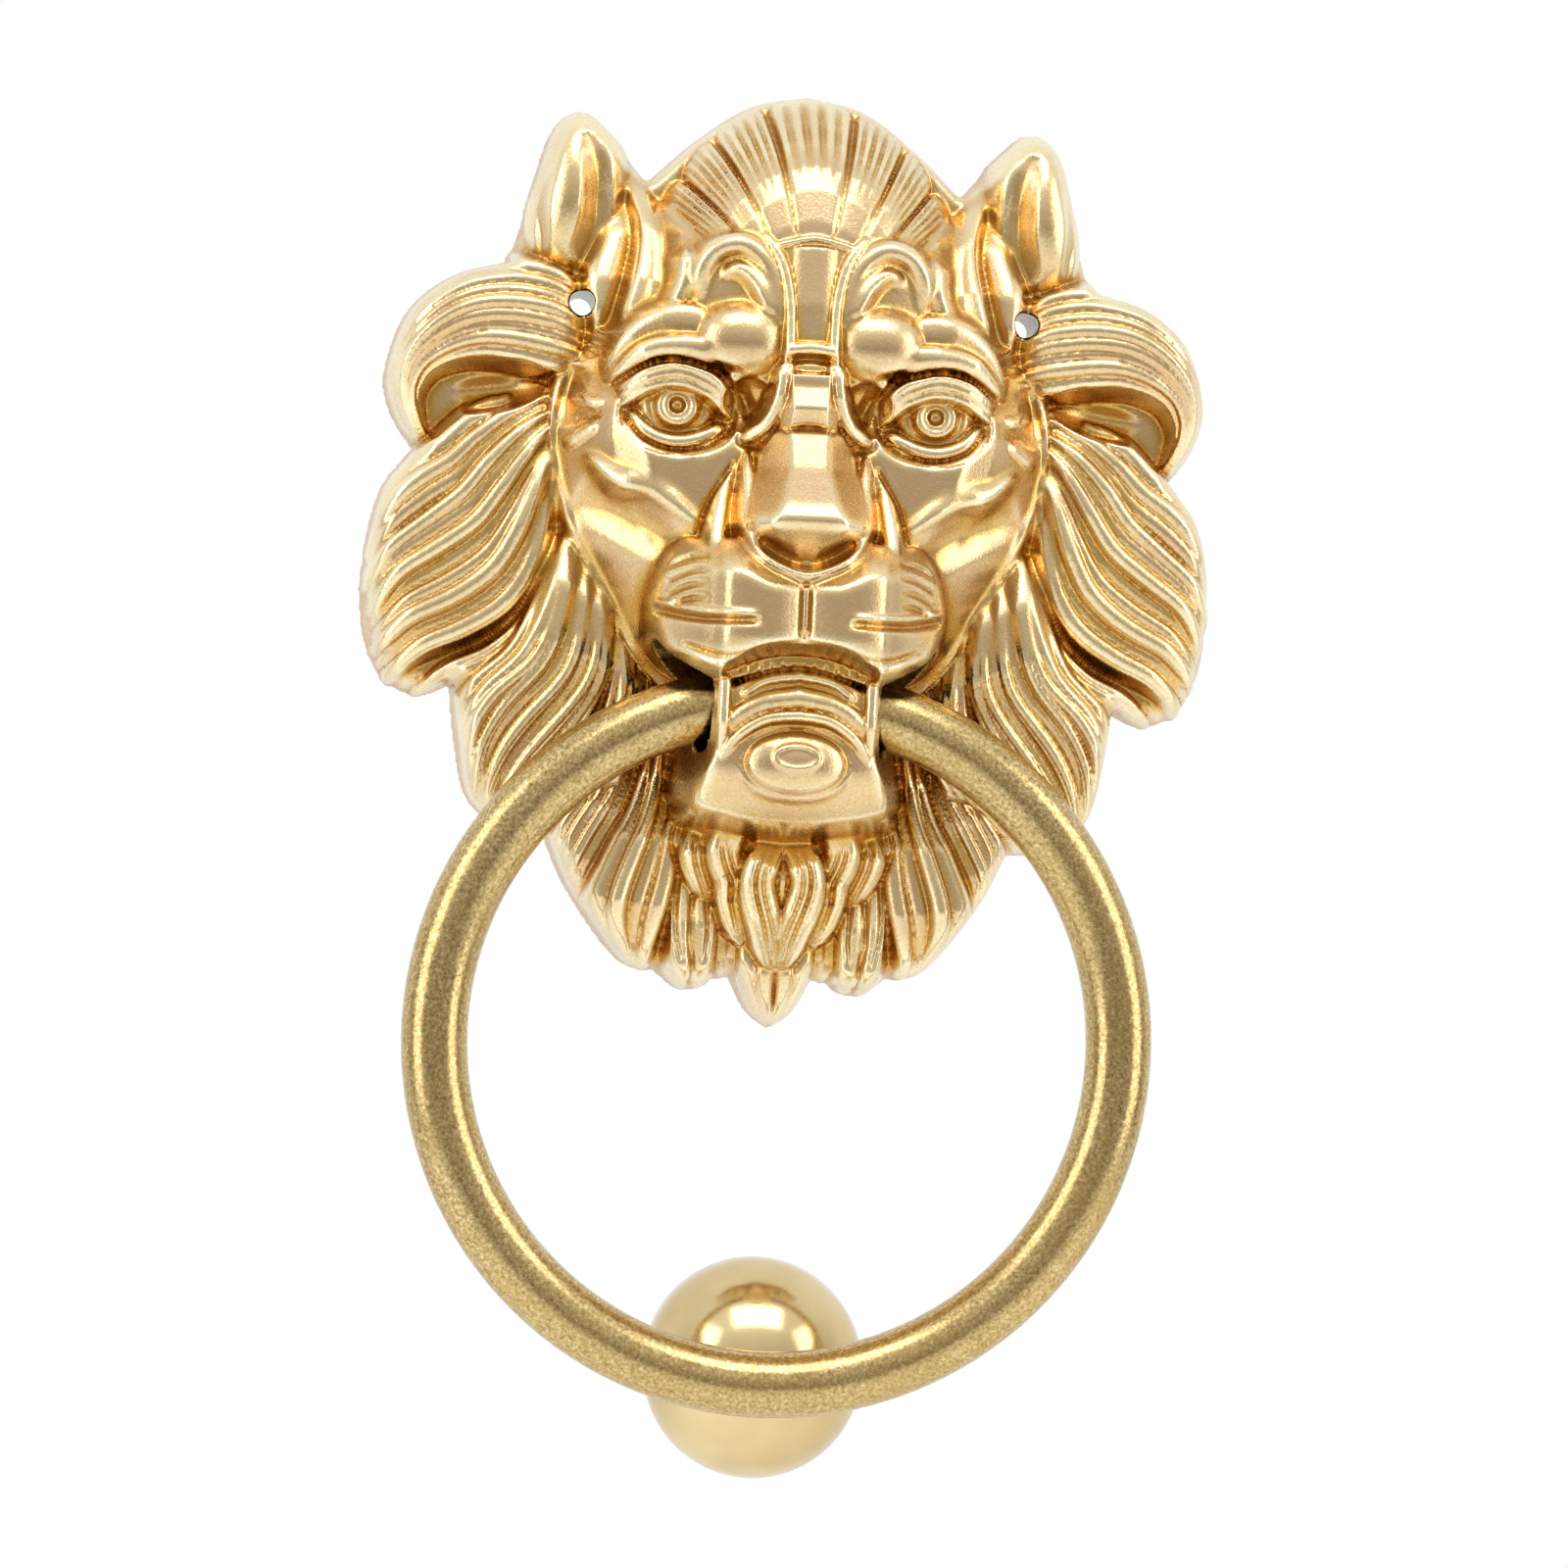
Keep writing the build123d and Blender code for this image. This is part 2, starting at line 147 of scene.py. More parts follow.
class Relief:
    """Height over a grid, with the strokes that a carver would make."""

    def __init__(self, step):
        self.step = step
        self.x = np.arange(0, REACH_X, step)
        self.z = np.arange(LOW_Z, HIGH_Z, step)
        self.X, self.Z = np.meshgrid(self.x, self.z, indexing="ij")
        self.h = np.full(self.X.shape, NO_METAL)
        self.inset = None             # distance inside the outline, set by sculpt_mane

    def window(self, points, margin):
        """The cells within a margin of some points, as a pair of slices."""
        low, high = points.min(0)[:2] - margin, points.max(0)[:2] + margin
        i = np.searchsorted(self.x, [low[0], high[0]])
        j = np.searchsorted(self.z, [low[1], high[1]])
        return slice(i[0], i[1] + 1), slice(j[0], j[1] + 1)

    def nearest(self, path, win):
        """Distance of each cell from a path, and how far along the path its nearest point is."""
        X, Z = self.X[win], self.Z[win]
        best = np.full(X.shape, FAR)
        along = np.zeros(X.shape)
        n = len(path) - 1
        for k in range(n):
            a, d = path[k, :2], path[k + 1, :2] - path[k, :2]
            px, pz = X - a[0], Z - a[1]
            u = np.clip((px * d[0] + pz * d[1]) / (d @ d + 1e-12), 0, 1)
            r = (px - u * d[0]) ** 2 + (pz - u * d[1]) ** 2
            near = r < best
            best[near] = r[near]
            along[near] = (k + u[near]) / n
        return np.sqrt(best), along

    def inside(self, polygon):
        """Distance of each cell inside a closed polygon; negative outside."""
        best = np.full(self.X.shape, FAR)
        within = np.zeros(self.X.shape, bool)
        for a, b in zip(polygon, np.roll(polygon, -1, 0)):
            d = b - a
            px, pz = self.X - a[0], self.Z - a[1]
            u = np.clip((px * d[0] + pz * d[1]) / (d @ d + 1e-12), 0, 1)
            best = np.minimum(best, (px - u * d[0]) ** 2 + (pz - u * d[1]) ** 2)
            crosses = (a[1] > self.Z) != (b[1] > self.Z)
            within ^= crosses & (self.X < d[0] * (self.Z - a[1]) / (d[1] + 1e-15) + a[0])
        return np.where(within, 1, -1) * np.sqrt(best)

    def put(self, value, win=np.s_[:, :], blend=0.0):
        """Adds material up to the given height, softening the join."""
        h = self.h[win]
        top = np.maximum(h, value)
        if blend:
            top = top + np.clip(1 - np.abs(h - value) / blend, 0, 1) ** 2 * blend * 0.25
        self.h[win] = top

    def cap(self, value, win=np.s_[:, :], blend=0.0):
        """Cuts material down to the given height."""
        h = self.h[win]
        low = np.minimum(h, value)
        if blend:
            low = low - np.clip(1 - np.abs(h - value) / blend, 0, 1) ** 2 * blend * 0.25
        self.h[win] = low

    def tube(self, path, widths, tops, taper=(0.15, 0.2), roundness=1.0, blend=0.0):
        """A rounded strand along a path, with half widths and top heights along it."""
        ends = np.linspace(0, 1, len(path))
        widths = np.interp(ends, np.linspace(0, 1, len(widths)), widths)
        tops = np.interp(ends, np.linspace(0, 1, len(tops)), tops)
        win = self.window(path, widths.max() + 2.2)
        d, t = self.nearest(path, win)
        end = np.ones_like(t)
        for share, rest in zip(taper, (t, 1 - t)):
            if share:
                end = np.minimum(end, np.sqrt(np.clip(1 - (1 - np.clip(rest / share, 0, 1)) ** 2, 0, 1)))
        width = np.maximum(np.interp(t, ends, widths) * (0.3 + 0.7 * end), THINNEST)
        u = np.clip(d / width, 0, 1)
        value = np.interp(t, ends, tops) - TIP_DROP * (1 - end) - roundness * width * (1 - np.sqrt(1 - u * u))
        self.put(value - DRAFT * past(d, width), win, blend)

    def strand(self, points, width, tops, **kw):
        """A rounded strand through a few points."""
        widths = np.atleast_1d(width)
        self.tube(spline(points, SAMPLES), widths, np.atleast_1d(tops), **kw)

    def lock(self, left, right, count, tops, bulge=1.5, fat=1.25, seed=0, jitter=0.0, sway=0.0, **kw):
        """A lock of hair: strands laid side by side between two edge curves."""
        a, b = spline(left, SAMPLES), spline(right, SAMPLES)
        rng = np.random.default_rng(seed)
        share = np.cumsum(np.concatenate([[0], 1 + 0.35 * (rng.random(count) - 0.5)]))
        share /= share[-1]
        tops = np.interp(np.linspace(0, 1, SAMPLES), np.linspace(0, 1, len(tops)), tops)
        for low, high in zip(share, share[1:]):
            u = (low + high) / 2
            path = a * (1 - u) + b * u
            gap = np.linalg.norm(b - a, axis=1) * (high - low)
            height = tops + bulge * (1 - (2 * u - 1) ** 2) + jitter * (rng.random() - 0.5)
            along = np.linspace(0, 1, SAMPLES)
            wave = sway * np.sin(2.6 * np.pi * along + 1.5 * rng.random()) * (0.2 + 0.8 * along)
            side = np.gradient(path, axis=0) @ np.array([[0, 1], [-1, 0]])
            path = path + side / (np.linalg.norm(side, axis=1)[:, None] + 1e-9) * wave[:, None] * 0.5
            self.tube(path, gap * 0.5 * fat, height + 0.4 * wave, **kw)

    def blob(self, x, z, rx, rz, base, height, turn=0.0, power=2.0, blend=0.6, hollow=False):
        """A domed swelling, or a hollow of the same shape."""
        size = max(rx, rz)
        win = self.window(np.array([[x - size, z - size], [x + size, z + size]]), 2.0)
        c, s = math.cos(math.radians(turn)), math.sin(math.radians(turn))
        dx, dz = self.X[win] - x, self.Z[win] - z
        u, v = (dx * c + dz * s) / rx, (-dx * s + dz * c) / rz
        r = (np.abs(u) ** power + np.abs(v) ** power) ** (1 / power)
        dome = height * np.sqrt(np.clip(1 - r * r, 0, 1)) - DRAFT * min(rx, rz) * past(r, 1)
        if hollow:
            self.cap(base - dome, win, blend)
        else:
            self.put(base + dome, win, blend)

    def soften(self, low, high, amount):
        """Rounds every edge inside a window, as polishing does."""
        i, j = np.searchsorted(self.x, [low[0], high[0]]), np.searchsorted(self.z, [low[1], high[1]])
        win = slice(i[0], i[1] + 1), slice(j[0], j[1] + 1)
        inner = self.X[win] - low[0] if low[0] > 0 else np.inf
        edge = np.minimum.reduce([high[0] - self.X[win], self.Z[win] - low[1], high[1] - self.Z[win]])
        edge = np.minimum(edge, inner)
        rounded = blur(both_sides(self.h), amount / self.step)[len(self.x) - 1:][win]
        self.h[win] += (rounded - self.h[win]) * smooth(0, 2, edge)

    def groove(self, points, width, depth, fade=0.2):
        """A rounded groove along a curve; a negative depth makes a ridge."""
        path = spline(points, 32)
        win = self.window(path, width + 0.3)
        d, t = self.nearest(path, win)
        end = 1.0 if not fade else np.sqrt(np.clip(np.minimum(t, 1 - t) / fade, 0, 1))
        depth = np.interp(t, np.linspace(0, 1, np.size(depth)), np.atleast_1d(depth))
        self.h[win] -= depth * end * smooth(0, 1, 1 - d / width)

    def ring(self, x, z, rx, rz, width, depth):
        """A groove, or a ridge, round an oval."""
        turn = np.linspace(0, 2 * np.pi, 14)
        oval = np.column_stack([x + rx * np.cos(turn), z + rz * np.sin(turn)])
        self.groove(oval, width, depth, fade=0)


def sculpt_mane(r):
    """Rim, ears and every lock of hair, lowest layers first."""
    edge = np.vstack([spline(run, 20)[:-1] for run in OUTLINE] + [[TIP_EDGE[-1]]])
    inset = r.inside(full_polygon(edge))
    rounded = np.sqrt(np.clip(1 - (1 - np.clip(inset / RIM_WIDTH, 0, 1)) ** 2, 0, 1))
    r.put(np.where(inset > 0, FLOOR_LEVEL * rounded + 1.0 * smooth(3, 12, inset), 4 * inset))
    r.inset = inset

    # ears: a smooth shell, folded at its outer edge and hollow towards the crown
    r.blob(31.2, 15.2, 6.7, 12.2, 5.5, 9.4, turn=8, power=2.3, blend=1.0)
    r.groove([(35.2, 19.0), (36.0, 13), (35.4, 6)], 1.3, 1.5, fade=0.5)
    r.groove([(29.8, 23.0), (28.6, 18), (28.8, 11), (30.2, 6)], 2.6, 2.2, fade=0.5)
    for x in (27.4, 28.6, 29.8):
        r.groove([(x + 0.8, 20.5), (x, 14), (x + 0.6, 8)], 0.5, 0.7, fade=0.4)

    # hair between ear, crown and temple
    r.lock([(28.0, 15.5), (28.0, 9), (29.4, 4), (28.8, -3)],
           [(24.6, 17), (24.0, 10), (25.2, 4), (26.8, -3)], 4, [6.5, 11.5, 14, 14.5], bulge=1.0, seed=1)
    r.lock([(25.0, 18.4), (22.8, 11), (23.2, 4), (25.2, -3.5)],
           [(20.8, 15), (18.4, 8), (17.6, 2), (18.4, -4)], 5, [7.0, 13.5, 17.6, 18.5], bulge=1.5, seed=2,
           jitter=0.6)
    r.lock([(29.0, -2.6), (26.6, -4), (23.8, -4.4)], [(30.2, -10), (27, -10.6), (24.0, -10.6)], 4,
           [12.5, 16.5, 19.5], bulge=0.8, seed=3)

    # side lock, sweeping from the temple to its tip
    r.lock([(34.0, -11.2), (39, -12.6), (44.6, -15.4), (48.4, -18.6), (52.2, -21.6), (55.8, -26.5),
            (57.6, -33)],
           [(32.4, -22), (33.6, -30), (35.2, -36), (38.4, -41.5), (43.5, -45.6), (49.0, -48.4),
            (54.0, -52.4)], 11, [12.5, 14, 14.6, 14.2, 13, 11.6, 9.6], bulge=1.6, seed=4, jitter=1.8,
           sway=1.3)
    r.lock([(33.4, -33), (36.0, -41.5), (40.5, -46.4), (45.6, -49.4), (50.6, -53.6)],
           [(32.0, -36), (34.0, -44), (37.6, -48.8), (41.8, -51.4), (46.0, -53.0)], 4,
           [12.5, 13, 12.2, 11.2, 9.4], bulge=0.8, seed=5, jitter=0.6, sway=0.5)

    # lower locks, down the side of the jaw
    r.lock([(32.2, -29.5), (33.8, -38), (37.6, -46), (43.0, -51), (45.2, -56), (44.8, -61), (42.8, -67.2)],
           [(24.5, -35), (24.2, -44), (24.6, -50), (27.6, -56), (31.6, -61.6), (35.4, -66.6), (38.0, -71)], 9,
           [12, 15, 15.4, 14.6, 13.2, 11.6, 9.6], bulge=1.4, seed=6, jitter=1.6, sway=1.1)
    r.lock([(25.0, -40), (23.6, -49), (26, -57.5), (31.6, -65), (36.4, -71)],
           [(19.5, -46), (19.0, -54), (20.6, -60), (25, -67.6), (30, -73)], 5, [12, 13.5, 13, 11.4, 9.2],
           bulge=0.9, seed=7, jitter=1.4, sway=1.1)

    # beard: locks that rise from under the jaw and end in round tips
    r.lock([(20.5, -54), (24.6, -62), (29.6, -69.0), (30.6, -74.6), (28.6, -78.6)],
           [(17, -54), (19.0, -64), (22.6, -73), (25.0, -79), (25.6, -83.2)], 5, [3, 9.5, 12.6, 12, 9.4],
           bulge=1.2, seed=8, jitter=2.0, sway=1.3)
    r.lock([(17.5, -54), (20.2, -65), (23.8, -74), (25.0, -81), (21.6, -87.6)],
           [(13.0, -54), (13.6, -66), (14.6, -75), (15.4, -82), (16.6, -89.4)], 4, [3, 10, 14, 13.4, 10],
           bulge=1.6, seed=9, jitter=2.2, sway=1.4)
    r.lock([(15.0, -58), (14.6, -68), (14.8, -76), (14.2, -83), (13.4, -90.6)],
           [(9.4, -58), (9.6, -68), (8.8, -76), (8.2, -83), (8.8, -90.6)], 2, [3, 9, 11.8, 13.6, 12.4],
           bulge=0.6, seed=11, taper=(0.2, 0.08), jitter=1.4, sway=0.6)
    for path in ([(11.6, -76), (11.9, -84), (11.2, -89)], [(13.4, -74), (13.9, -82), (12.9, -88)],
                 [(9.9, -77), (9.5, -84), (9.8, -88)]):
        r.groove(path, 0.5, 0.8, fade=0.3)
    r.lock([(9.0, -66), (8.6, -78), (8.2, -86), (6.8, -90.0)],
           [(4.4, -66), (4.4, -78), (4.8, -86), (5.0, -91.0)], 2, [6, 9, 11, 9.4], bulge=0.4, seed=12,
           jitter=1.0, sway=0.4)
    r.lock([(5.2, -74), (5.4, -84), (4.6, -90), (2.2, -95.6)], [(0, -74), (0, -84), (0, -91), (0, -96.6)], 2,
           [8, 12, 12.4, 9.6], bulge=0.0, seed=13, taper=(0.1, 0.1), fat=1.15, sway=0.5)

    # goatee: short twisted locks under the chin, the middle pair longest
    for path, width, tops in [
            ([(13.2, -60), (13.4, -67), (14.6, -72), (12.6, -77.0)], 1.5, [8, 12.8, 14.8, 12]),
            ([(10.6, -60), (10.0, -68), (11.6, -73), (9.4, -79.4)], 1.9, [8, 13.4, 17.2, 13.8]),
            ([(4.8, -60), (4.6, -70), (6.6, -77.0), (5.0, -84.6)], 1.9, [8, 13.8, 18.0, 14.6]),
            ([(7.6, -60), (6.6, -68), (8.0, -72.5), (6.2, -77.6), (6.8, -79.6)], 2.1,
             [8, 13.6, 19.4, 18.0, 16]),
            ([(0, -60), (0, -70), (0.4, -77), (0, -84)], 1.5, [8, 14.0, 18.6, 15]),
            ([(2.2, -60), (1.4, -70), (3.4, -76.5), (1.7, -83.0), (0.4, -88.2)], 2.1,
             [8, 14.2, 20.4, 19.0, 14])]:
        r.strand(path, [width * 0.7, width * 1.0, width * 1.25, width * 1.1], tops, taper=(0.1, 0.2),
                 roundness=0.8)
        for side, depth in ((-0.75, 0.7), (0.35, 0.9)):
            r.groove([(x + side, z) for x, z in path[1:]], 0.5, depth, fade=0.35)

    # upper curl, rolling over its own hollow
    r.lock([(30.4, 3.0), (35, 4.8), (41, 5.2), (47.2, 3.4), (52.4, -1.2), (55.4, -7.8), (55.0, -14.2),
            (52.0, -19.4)],
           [(29.4, -10), (35, -8.8), (41, -7.7), (45.5, -8.1), (49.4, -9.8), (51.2, -12.8), (50.8, -16),
            (49.6, -18.6)], 8, [12.8, 14, 14.8, 14.8, 14, 12.6, 10.8, 9.2], bulge=1.8, seed=16, jitter=0.8)
    r.blob(42.5, -12.0, 9.0, 3.4, 14.0, 6.6, turn=-9, blend=0.6, hollow=True)
    r.lock([(40.5, -13.6), (45.0, -15.2), (49.6, -18.8)], [(38, -12.4), (43.4, -15.8), (47.4, -19.8)], 2,
           [9.5, 10, 8.8], bulge=0.2, seed=17)


def sculpt_crown(r):
    """A fan of pleats like a scallop shell, from the forehead back to the rim."""
    dx, dz = r.X, r.Z + 4.0
    reach, angle = np.hypot(dx, dz), np.degrees(np.arctan2(dx, dz))
    panels = [0, 11.0, 25.5, 38.0, 49.0, 58.0]
    rim = np.interp(angle, panels, [33.6, 33.0, 30.8, 28.2, 26.4, 25.4])
    place = np.interp(angle, panels, np.arange(len(panels)))
    place = np.where(angle < panels[1], 0.5 + 0.5 * place, place - np.floor(place))
    rim = rim - 1.1 * (2 * place - 1) ** 4
    share = reach / rim
    height = np.interp(share, [0, 0.30, 0.45, 0.58, 0.68, 0.78, 0.88, 0.95, 1.0, 1.3],
                       [27, 26.8, 26.2, 25.0, 23.2, 20.2, 15.9, 12.0, 8.6, -60])
    pleat = 0.5 + 0.5 * np.cos(2 * np.pi * 5 * place)
    height = height - 1.3 * pleat ** 1.5 * smooth(0.60, 0.86, share) * (1 - 0.5 * smooth(0.9, 1.0, share))
    from_border = np.where(angle < panels[1], 1 - place, np.minimum(place, 1 - place))
    height = height - np.exp(-(from_border / 0.07) ** 2) * (0.3 + 0.9 * smooth(0.6, 0.9, share))
    r.put(height - 14 * smooth(50, 60, angle) - 40 * smooth(60, 70, angle), blend=0.5)


def sculpt_mask(r):
    """The ground of the face: flat cheeks over steep walls, and a domed forehead."""
    inset = r.inside(full_polygon(spline(FACE_EDGE, 70)))
    cheek = np.interp(inset, [-8, 0, 0.8, 1.6, 8.0, 8.6, 12.4, 13.0, 30],
                      [-20, 13.2, 14.6, 14.6, 21.6, 22.4, 25.3, 25.6, 26.2])
    dome = 26.5 - 0.018 * past(r.X, 4) ** 2
    forehead = np.minimum(np.interp(inset, [-8, 0, 4, 12], [-20, 12, 18, 27]), dome)
    upper = smooth(-14, -4, r.Z)
    ground = cheek * (1 - upper) + forehead * upper
    throat = smooth(-44, -50, r.Z)
    ground = ground * (1 - throat) + np.minimum(ground, 13.5) * throat
    r.put(ground)
    r.groove([(30.0, -26.0), (23.0, -28.6), (15.0, -33.4)], 4.2, [1.2, 2.6, 2.0], fade=0.25)
    r.strand([(28.6, -20.6), (24.6, -23.6), (19.4, -25.2), (13.0, -30.2)], [0.6, 1.5, 1.3, 0.6],
             [20.6, 24.6, 26.3, 26.8], roundness=0.7, blend=0.8)
    r.soften((6, -46), (36, -18), 0.25)


def sculpt_brows(r):
    """Bulges and curls over the eyes, with a flat strip between them."""
    r.blob(9.0, -5.0, 6.2, 5.0, 25.2, 3.9, blend=1.6)
    r.strand([(4.4, -4), (4.7, 1), (6.2, 5.2), (9.4, 7.6), (13, 6.6), (14.8, 3.4), (14.2, -0.6)], 1.5,
             [28.2, 28, 27.6, 27, 26, 25])
    r.strand([(5.4, -1.8), (7.2, 2.2), (9.8, 4.4), (12.0, 3.4)], [0.6, 1.3, 1.1, 0.5],
             [28.4, 28.2, 27.4, 26.4], blend=0.5)
    r.strand([(16.6, 6.5), (16.8, 2.5), (18.5, -1.5)], 1.4, [24.2, 24.6, 24])
    r.soften((0, -10), (20, 10), 0.25)
    # flat strip up the middle of the forehead, widening at its top
    half = 3.0 + 0.05 * np.clip(r.Z - 0.5, 0, 9) ** 1.6
    strip = 28.4 - 0.1 * r.X ** 2 - 0.13 * past(r.Z)
    strip -= DRAFT * (past(r.X, half) + past(r.Z, 7.6) + past(-16 - r.Z))
    r.put(strip)
    r.strand([(3.0, -11.5), (2.9, -4), (3.3, 1.5), (4.6, 6.0), (7.2, 9.6)], 0.75,
             [29.6, 29.2, 28.6, 27.8, 26.6])
    r.strand([(5.2, 7.6), (0, 8.7), (-5.2, 7.6)], 0.45, 26.9, taper=(0, 0))
    r.strand([(2.8, -6.2), (0, -5.9), (-2.8, -6.2)], 0.8, 29.4, taper=(0, 0))
    r.groove([(2.9, -7.5), (0, -7.3), (-2.9, -7.5)], 0.8, 1.2, fade=0)


def sculpt_eyes(r):
    """Ball, rings and lids of the eye, and the folds round it."""
    x, z = 17.2, -13.9
    r.blob(x, z - 0.3, 8.2, 6.0, 23.6, 3.2, blend=0.4, hollow=True)
    r.blob(x, z, 5.9, 4.7, 19.8, 4.6, blend=0.2)
    r.ring(x, z, 2.35, 2.35, 0.85, -0.6)
    r.ring(x, z, 3.5, 3.2, 0.7, 0.45)
    r.blob(x, z, 1.15, 1.15, 24.4, 1.3, blend=0.1, hollow=True)
    # upper lid, brow and the shadow between them
    for up, top in ((0.0, 0.0), (1.15, 0.5), (2.2, 0.8)):
        r.strand([(10.2, -15.0 + up), (13, -12.4 + up), (17, -11.0 + up), (21, -11.7 + up),
                  (24.8, -14.2 + up)], 0.6, np.array([25.0, 26.1, 26.4, 25.7, 23.6]) + top)
    r.groove([(8.6, -9.6), (13.6, -8.6), (18, -7.8), (22.4, -9.0), (25.4, -11.6)], 0.95,
             [1.5, 3.0, 3.0, 2.6, 1.5])
    r.strand([(11.6, -6.9), (17, -6.2), (21.5, -7.0), (26.2, -10.6)], [2.0, 1.5, 1.2, 0.5],
             [27.6, 27.9, 26.6, 22.6], roundness=0.8, blend=0.8)
    r.strand([(13.6, -3.4), (18.6, -3.0), (23.0, -5.2), (26.6, -10)], [2.6, 2.3, 1.6, 0.6],
             [26.2, 25.8, 23.8, 20.6], roundness=0.45, blend=1.4)
    # lower lid
    r.strand([(10.8, -16.4), (14, -18.1), (17.5, -18.7), (21, -17.6), (23.4, -14.8)], 0.9,
             [24.2, 24.8, 24.8, 24.4, 23.4])
    r.strand([(8.8, -17.8), (13.4, -20.1), (17.8, -20.7), (22, -19.1), (24.4, -15.8)], 1.0,
             [24.6, 25.2, 25.4, 24.8, 23])
    r.groove([(9.4, -16.4), (13.6, -19.2), (17.6, -19.8), (21.6, -18.4), (24, -15.2)], 0.55, 1.0)
    # folds at the outer corner, hollow of the temple, pits beside the nose
    r.strand([(24.6, -16.6), (28, -17.4), (31.6, -19.6)], 0.9, [21.6, 20, 16.8])
    r.strand([(24.8, -13.6), (28, -13.8), (31, -12.4)], 0.8, [21.6, 20, 17])
    r.groove([(30.2, -8.6), (31.2, -12.4), (30.8, -17.0)], 2.4, 2.4, fade=0.5)
    r.groove([(27.0, -15.2), (30.2, -15.8)], 1.1, 1.0, fade=0.4)
    r.blob(7.6, -13.8, 3.6, 4.0, 26.6, 3.6, turn=-25, blend=1.5, hollow=True)
    r.groove([(9.6, -10.6), (7.6, -14.0), (5.6, -17.0)], 1.6, 1.6)
    r.groove([(4.4, -18.0), (7.0, -18.6), (9.4, -18.0)], 1.0, 1.8)


def sculpt_nose(r):
    """Nose with a flat ridge and nostrils, and the folds beside it."""
    # level: height of the ridge, half width of its flat, slope of its sides
    levels = [(-36.4, 33.5, 0.5, 0.6), (-33.2, 35.4, 1.4, 0.8), (-31.4, 37.6, 3.8, 1.0),
              (-30.0, 39.5, 5.0, 1.15), (-28.8, 39.8, 4.4, 1.25), (-27, 38.8, 3.5, 1.25),
              (-22, 34.4, 2.4, 1.25), (-17.4, 31.2, 2.4, 1.2), (-16.6, 30.2, 2.4, 1.2),
              (-14, 31.4, 2.2, 1.5), (-11, 30.2, 2.4, 1.8)]
    z, ridge, flat, slope = (np.array(column) for column in zip(*levels))
    nose = np.interp(r.Z, z, ridge) - np.interp(r.Z, z, slope) * past(r.X, np.interp(r.Z, z, flat))
    border = np.interp(r.Z, [-36.4, -34, -30, -24, -19.5, -16.5], [1.5, 5.4, 7.4, 7.3, 6.1, 3.9])
    nose -= 2.5 * past(r.X, border) + DRAFT * past(r.Z + 9.5)
    nose -= DRAFT * past(-36.4 - r.Z)
    r.put(nose, blend=0.6)
    # cheek sweeping down beside the nose into the muzzle
    r.strand([(9.9, -20.5), (10.8, -26), (11.5, -31), (11.4, -36), (11.0, -40.5)], [0.7, 1.1, 1.2, 1.0, 0.6],
             [25.4, 27.4, 30.2, 33.2, 34.4], roundness=0.6, blend=1.2, taper=(0.5, 0.45))
    r.soften((0, -36), (15, -17), 0.2)
    r.strand([(3.5, -8), (4.0, -12.6), (5.6, -16.2), (9.0, -18.4)], 0.85, [29.8, 30.0, 28.6, 26.2], blend=0.6)
    r.groove([(2.9, -16.9), (0, -16.5), (-2.9, -16.9)], 0.6, 0.7, fade=0)
    # edge of the nostrils and the fold beside it
    r.strand([(7.9, -19.6), (7.7, -25), (7.6, -29.8), (5.4, -33.8), (0.1, -36.2)], 0.6,
             [27.2, 31.0, 34.4, 36.6, 37.2], taper=(0.15, 0))
    r.groove([(6.4, -31.6), (4.0, -33.5), (0.7, -35.2)], 1.0, 1.7)
    r.groove([(9.4, -21.0), (12.9, -27), (14.2, -33)], 0.55, 0.9)


def sculpt_muzzle(r):
    """Whisker pads and the upper lip."""
    out = past(r.X, 10.4)
    crest = -37.9 + 1.9 * smooth(3.5, 9.5, r.X)
    over, under = past(r.Z, crest), past(-43.4 - r.Z)
    pad = np.sin(np.pi * np.clip(r.X / 11.4, 0, 1))
    muzzle = 36.2 + 1.6 * pad - 0.75 * out - 0.055 * out ** 2
    muzzle -= 0.75 * over + 0.12 * over ** 2 + 0.07 * under ** 2
    side = 19.2 - 0.10 * np.abs(r.Z + 40) ** 1.6
    lip = -46.6 - 0.028 * np.minimum(r.X, 10) ** 2 + 0.42 * past(r.X, 10)
    muzzle -= DRAFT * (past(r.X, side) + past(lip, r.Z) + past(r.Z + 31.5))
    r.put(muzzle, blend=0.5)
    r.soften((0, -50), (21, -31), 0.3)
    # folds that the whiskers grow from
    for level in (-34.6, -36.4, -38.2, -40.0):
        r.groove([(12.6, level + 0.5), (15.0, level + 0.3), (17.8, level - 0.9)], 0.7, 1.0, fade=0.4)
    # fold of the cheek over the lip, then the rim of the lip
    r.groove([(19.4, -41.0), (13.4, -42.2), (5.6, -42.3)], 0.85, [2.0, 1.4, 0.5], fade=0.1)
    r.groove([(19.4, -39.9), (13.4, -41.1), (6.0, -41.4)], 0.7, [-1.2, -0.8, -0.3], fade=0.1)
    r.groove([(15.8, -45.4), (9.8, -47.0), (4.5, -45.6), (0, -44.9), (-4.5, -45.6)], 0.6, 0.8, fade=0.1)
    r.groove([(16.0, -46.4), (9.8, -48.4), (4.5, -46.6), (0, -45.9), (-4.5, -46.6)], 0.8, -0.7, fade=0.1)
    r.groove([(0, -37.0), (0, -44.6)], 1.1, 1.0, fade=0.25)
    r.strand([(0.0, -37.2), (0.0, -44.0)], 0.35, 36.5)


